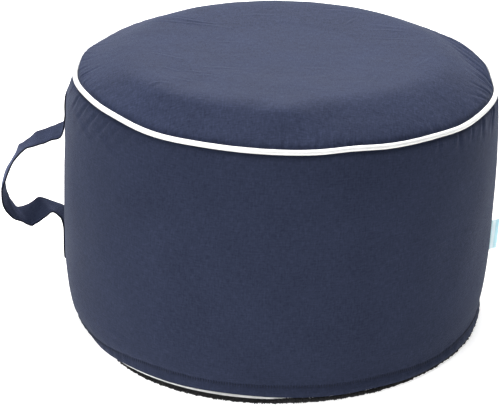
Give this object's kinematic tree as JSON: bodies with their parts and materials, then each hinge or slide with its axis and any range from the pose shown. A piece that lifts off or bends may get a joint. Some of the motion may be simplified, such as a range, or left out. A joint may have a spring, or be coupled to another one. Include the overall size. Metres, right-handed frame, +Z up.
{
  "type": "inflatable pouf",
  "caption": "Round inflatable pouf: an air-filled drum in navy cloth with white piped seams, a carrying handle on one side and a black base. Used as a low seat or footrest.",
  "frame": {"origin": "middle of the flat base, on the floor", "axes": "+Z up; +X towards the tag, so the handle is on the -X side; -Y is the front"},
  "size_m": [0.6255, 0.5316, 0.3467],
  "materials": {
    "navy_cloth": "fine plain-woven polyester, matt",
    "white_piping": "cord covered with a white woven bias strip",
    "black_cloth": "heavier black woven cloth, slightly fuzzy at its edge",
    "tag_tape": "folded woven tape, bare"
  },
  "bodies": {
    "root": {"top_panel": "navy_cloth", "top_piping": "white_piping", "side_wall": "navy_cloth", "base_piping": "white_piping", "base_panel": "black_cloth", "handle_strap": "navy_cloth", "side_tag": "tag_tape"}
  },
  "joints": []
}
